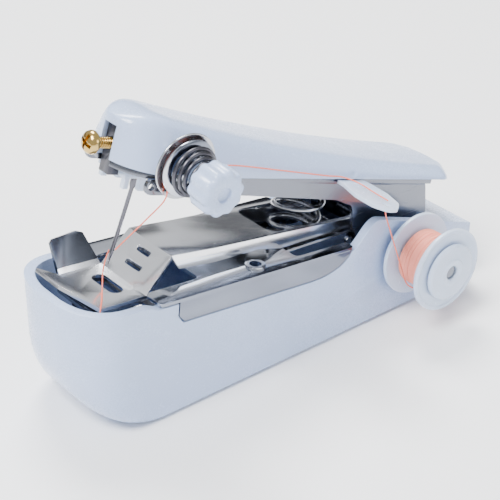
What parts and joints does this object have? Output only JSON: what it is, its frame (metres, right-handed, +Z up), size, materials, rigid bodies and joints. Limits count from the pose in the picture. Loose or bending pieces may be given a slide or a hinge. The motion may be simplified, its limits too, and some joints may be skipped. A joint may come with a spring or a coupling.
{
  "type": "mini hand-held stapler sewing machine",
  "caption": "Hand-held stapler-style sewing machine: a white tub with a sprung lever arm, needle, steel presser plate, thread tension unit and side bobbin.",
  "frame": {"origin": "on the flat underside of the base, halfway along its length and on its centre plane", "axes": "+X from the needle end to the pivot end, +Y away from the bobbin side, +Z up"},
  "size_m": [0.1108, 0.0465, 0.066],
  "materials": {
    "white_plastic": "glossy moulded",
    "translucent_plastic": "milky moulded",
    "bright_sheet": "bright plated sheet",
    "steel": "bright",
    "dark_steel": "blackened",
    "brass": "plated",
    "coral_thread": "spun thread"
  },
  "bodies": {
    "base": {"base_shell": "white_plastic", "frame_deck": "bright_sheet", "needle_plate": "steel", "presser_pin": "steel", "presser_spring": "steel", "pivot_bracket": "steel", "pivot_pin": "steel", "pivot_clip": "steel", "bobbin_washer": "steel", "spring_cup": "steel", "spring_bridge": "steel", "main_spring": "steel", "looper_post": "steel", "thread_supply": "coral_thread"},
    "arm": {"arm_cover": "white_plastic", "arm_channel": "bright_sheet", "cover_screw_front": "steel", "cover_screw_rear": "steel", "drive_pin": "steel", "needle_holder": "dark_steel", "needle": "steel", "needle_guard": "translucent_plastic", "tension_stud": "steel", "thread_guide": "translucent_plastic", "thread_run": "coral_thread", "thread_tail": "coral_thread"},
    "presser": {"presser_plate": "bright_sheet"},
    "knob": {"tension_knob": "white_plastic", "tension_spring": "dark_steel", "tension_disc_front": "bright_sheet", "tension_disc_rear": "bright_sheet"},
    "screw": {"needle_screw": "brass"},
    "spool": {"bobbin": "translucent_plastic", "bobbin_thread": "coral_thread", "bobbin_cap": "white_plastic"},
    "looper": {"looper_hook": "steel"},
    "slide": {"drive_slide": "steel"},
    "feed": {"feed_dog": "dark_steel"}
  },
  "joints": [
    {"name": "arm_pivot", "type": "hinge", "parent": "base", "child": "arm", "pos_m": [0.036, 0, 0.0155], "axis": [0, -1, 0], "range_deg": [0, 10.5], "stiffness_Nm_per_rad": 0.4, "springref_deg": -14.32, "deforming": ["main_spring", "thread_supply", "thread_tail", "thread_run"]},
    {"name": "presser_lift", "type": "hinge", "parent": "base", "child": "presser", "pos_m": [0.0217, 0, 0.0205], "axis": [0, 1, 0], "range_deg": [0, 3], "stiffness_Nm_per_rad": 0.05, "springref_deg": -20.05},
    {"name": "tension_turn", "type": "hinge", "parent": "arm", "child": "knob", "pos_m": [-0.02702, -0.01285, 0.05691], "axis": [-0.0277, -0.9962, -0.0827], "continuous": true},
    {"name": "needle_screw_turn", "type": "hinge", "parent": "arm", "child": "screw", "pos_m": [-0.03785, 0, 0.06046], "axis": [-0.9483, 0, 0.3173], "continuous": true},
    {"name": "spool_spin", "type": "hinge", "parent": "base", "child": "spool", "pos_m": [0.036, -0.022, 0.0155], "axis": [0, 1, 0], "continuous": true},
    {"name": "slide_run", "type": "slide", "parent": "base", "child": "slide", "axis": [1, 0, 0], "range_m": [0, 0.0016]},
    {"name": "looper_swing", "type": "hinge", "parent": "base", "child": "looper", "pos_m": [-0.028, 0, 0.019], "axis": [0, 0, 1], "range_deg": [0, 20]},
    {"name": "feed_stroke", "type": "slide", "parent": "base", "child": "feed", "axis": [0, 1, 0], "range_m": [0, 0.0017]}
  ],
  "couplings": [
    {"joint": "slide_run", "follows": "arm_pivot", "m_per_rad": 0.008},
    {"joint": "looper_swing", "follows": "arm_pivot", "ratio": 1.7778},
    {"joint": "feed_stroke", "follows": "arm_pivot", "m_per_rad": 0.0088}
  ]
}
